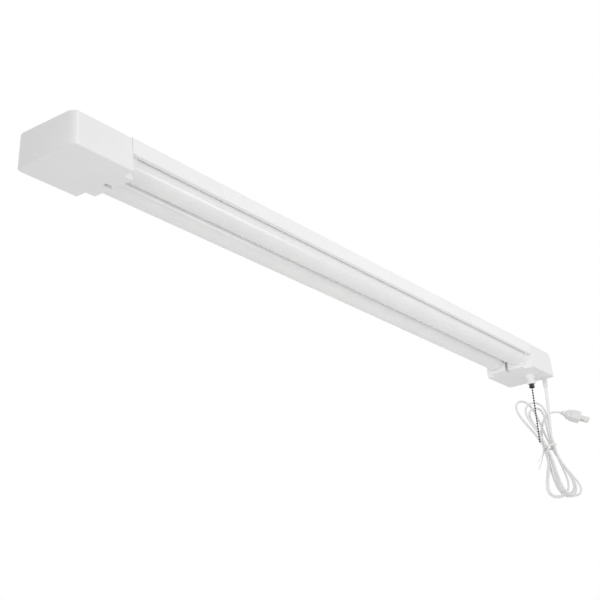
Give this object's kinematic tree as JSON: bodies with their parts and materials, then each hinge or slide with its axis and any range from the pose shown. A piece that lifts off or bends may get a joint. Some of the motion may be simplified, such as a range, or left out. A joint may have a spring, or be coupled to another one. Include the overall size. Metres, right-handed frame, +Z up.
{
  "type": "hanging shop light",
  "caption": "Long twin-tube shop light: steel channel between moulded end caps, LED tubes with a pull-chain switch, and a two-core plug cord tied in a hank.",
  "frame": {"origin": "centre of the rectangle of four hanging holes, on the top face of the channel", "axes": "+X along the light towards the switch and cord end, +Y to the rear, +Z up out of the top face"},
  "size_m": [1.2867, 0.1253, 0.2684],
  "materials": {
    "enamelled_steel": "gloss white enamel",
    "cap_plastic": "satin white moulding",
    "zinc_steel": "zinc plated",
    "frosted_tube": "frosted polycarbonate",
    "aluminium": "extruded",
    "led_board": "white solder mask",
    "brass": "plain",
    "circuit_board": "green solder mask",
    "ferrite": "ferrite core and taped coil",
    "capacitor_sleeve": "shrink sleeve",
    "choke_wire": "enamelled copper",
    "line_insulation": "black vinyl",
    "neutral_insulation": "white vinyl",
    "lead_insulation": "red vinyl",
    "splice_sleeve": "blue nylon",
    "switch_plastic": "phenolic moulding",
    "black_metal": "black oxide",
    "cord_vinyl": "soft white vinyl",
    "tie_plastic": "white film over wire",
    "nickel_brass": "nickel plated"
  },
  "bodies": {
    "fixture": {"channel": "enamelled_steel", "blank_end_cap": "cap_plastic", "switch_end_cap": "cap_plastic", "cap_screws": "zinc_steel", "front_tube": "frosted_tube", "rear_tube": "frosted_tube", "front_heat_sink": "aluminium", "rear_heat_sink": "aluminium", "front_led_board": "led_board", "rear_led_board": "led_board", "front_blank_end_plug": "cap_plastic", "rear_blank_end_plug": "cap_plastic", "front_switch_end_plug": "cap_plastic", "rear_switch_end_plug": "cap_plastic", "contact_pins": "brass", "blank_end_holder": "cap_plastic", "switch_end_holder": "cap_plastic", "holder_screws": "zinc_steel", "driver_board": "circuit_board", "driver_transformer": "ferrite", "driver_capacitors": "capacitor_sleeve", "driver_choke": "choke_wire", "driver_terminals": "cap_plastic", "driver_screws": "zinc_steel", "line_wire": "line_insulation", "neutral_wire": "neutral_insulation", "tube_leads": "lead_insulation", "wire_clips": "cap_plastic", "splice": "splice_sleeve", "switch_body": "switch_plastic", "switch_bushing": "zinc_steel", "switch_collar": "cap_plastic", "switch_bell": "black_metal", "return_spring": "zinc_steel", "strain_relief": "cord_vinyl", "cord_inner_end": "cord_vinyl", "cord_drop": "cord_vinyl", "cord_hank": "cord_vinyl", "cord_plug_lead": "cord_vinyl", "twist_tie": "tie_plastic", "plug_body": "cord_vinyl", "plug_blade_narrow": "nickel_brass", "plug_blade_wide": "nickel_brass"},
    "slider": {"switch_slider": "brass"},
    "swivel": {"chain_swivel_bead": "black_metal"},
    "upper_chain": {"chain_upper": "black_metal"},
    "chain_bend": {"chain_middle_bead": "black_metal"},
    "lower_chain": {"chain_lower": "black_metal"}
  },
  "joints": [
    {"name": "pull", "type": "slide", "parent": "fixture", "child": "slider", "axis": [0, 0, -1], "range_m": [0, 0.007], "stiffness_N_per_m": 1200, "springref_m": -0.004, "deforming": ["return_spring"]},
    {"name": "chain_swing_along", "type": "hinge", "parent": "slider", "child": "swivel", "pos_m": [0.567, -0.0172, -0.0687], "axis": [0.8256, 0.5642, 0], "range_deg": [-30, 30]},
    {"name": "chain_swing_across", "type": "hinge", "parent": "swivel", "child": "upper_chain", "pos_m": [0.567, -0.0172, -0.0687], "axis": [0.5642, -0.8256, 0], "range_deg": [-30, 5]},
    {"name": "chain_bend_along", "type": "hinge", "parent": "upper_chain", "child": "chain_bend", "pos_m": [0.567, -0.0172, -0.1215], "axis": [0.8256, 0.5642, 0], "range_deg": [-30, 30]},
    {"name": "chain_bend_across", "type": "hinge", "parent": "chain_bend", "child": "lower_chain", "pos_m": [0.567, -0.0172, -0.1215], "axis": [0.5642, -0.8256, 0], "range_deg": [-30, 3]}
  ]
}
